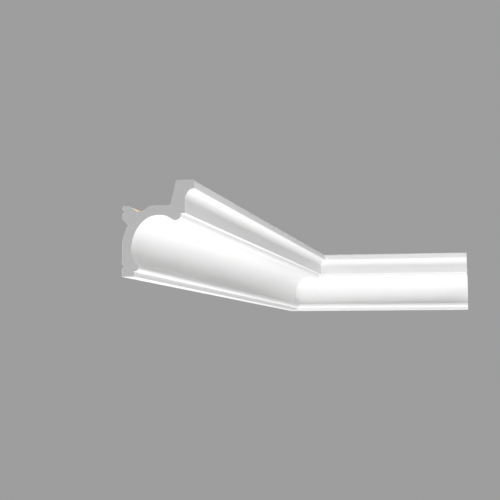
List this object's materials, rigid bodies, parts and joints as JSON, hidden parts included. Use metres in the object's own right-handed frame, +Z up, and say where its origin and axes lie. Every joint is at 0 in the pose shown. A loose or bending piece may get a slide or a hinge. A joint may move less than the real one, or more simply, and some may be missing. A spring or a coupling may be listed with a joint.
{
  "type": "cornice moulding length with mitred return",
  "caption": "White foam cornice moulding for indirect light, mitred round an inside corner, with a light strip in the trough behind its lip.",
  "frame": {"origin": "at the height of the underside, under the middle of the box round both lengths", "axes": "+Y along the long length towards the room's corner, +X along the short length away from that corner, +Z up"},
  "size_m": [0.465, 1.447, 0.14],
  "materials": {
    "primed_foam": "satin white primer on hard foam, with bare grey-white foam on the cut ends",
    "light_strip": "white tape with a silicone-covered line of yellow phosphor, softly lit"
  },
  "bodies": {
    "root": {"long_length": "primed_foam", "short_length": "primed_foam", "long_light_strip": "light_strip", "short_light_strip": "light_strip"}
  },
  "joints": []
}
